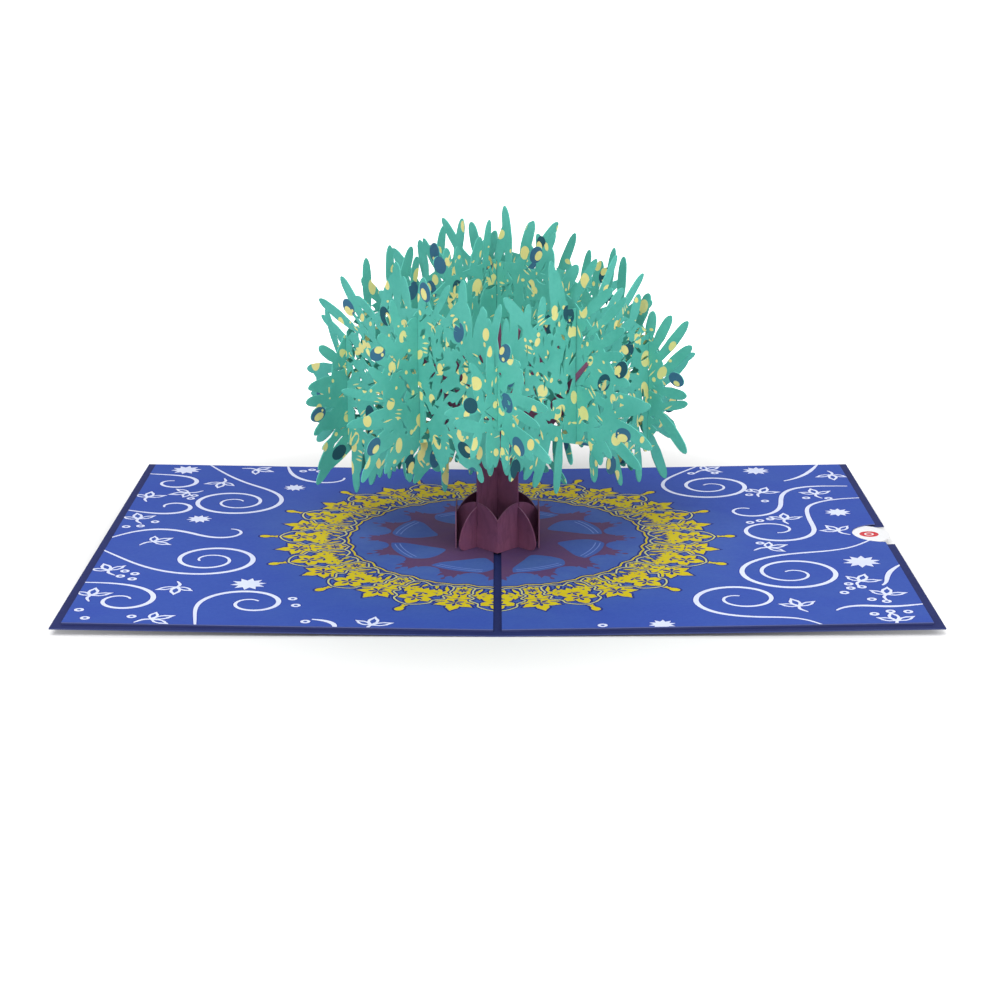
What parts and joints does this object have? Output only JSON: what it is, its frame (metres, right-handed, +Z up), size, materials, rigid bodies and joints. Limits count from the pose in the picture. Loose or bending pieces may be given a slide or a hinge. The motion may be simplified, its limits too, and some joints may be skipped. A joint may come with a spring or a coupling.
{
  "type": "pop up card",
  "caption": "Pop up card opened flat, with a slotted paper tree on its fold and a pull-out note card in a pocket behind the right page.",
  "frame": {"origin": "centre of the open card's box, on the table under the spine", "axes": "+X across the fold towards the half with the note pocket, +Y along the fold away from the viewer, +Z up"},
  "size_m": [0.254, 0.178, 0.11],
  "materials": {
    "cover_card": "matt navy card",
    "page_print": "matt printed blue paper",
    "tape": "double sided tape",
    "note_paper": "matt white card",
    "leaf_paper": "matt printed teal paper",
    "trunk_paper": "matt purple brown paper"
  },
  "bodies": {
    "card": {"cover": "cover_card", "left_page": "page_print", "right_page": "page_print", "left_page_tape": "tape", "pocket_tape": "tape", "left_page_tab": "trunk_paper", "right_page_tab": "trunk_paper", "petal_ring_front": "trunk_paper", "petal_ring_back": "trunk_paper", "trunk_sheet_left": "trunk_paper", "trunk_sheet_right": "trunk_paper", "canopy_front_left": "leaf_paper", "canopy_front_right": "leaf_paper", "canopy_centre_left": "leaf_paper", "canopy_centre_right": "leaf_paper", "canopy_back_left": "leaf_paper", "canopy_back_right": "leaf_paper"},
    "note": {"note_card": "note_paper"}
  },
  "joints": [
    {"name": "note_slide", "type": "slide", "parent": "card", "child": "note", "axis": [0.9998, 0, 0.0175], "range_m": [0, 0.1]}
  ]
}
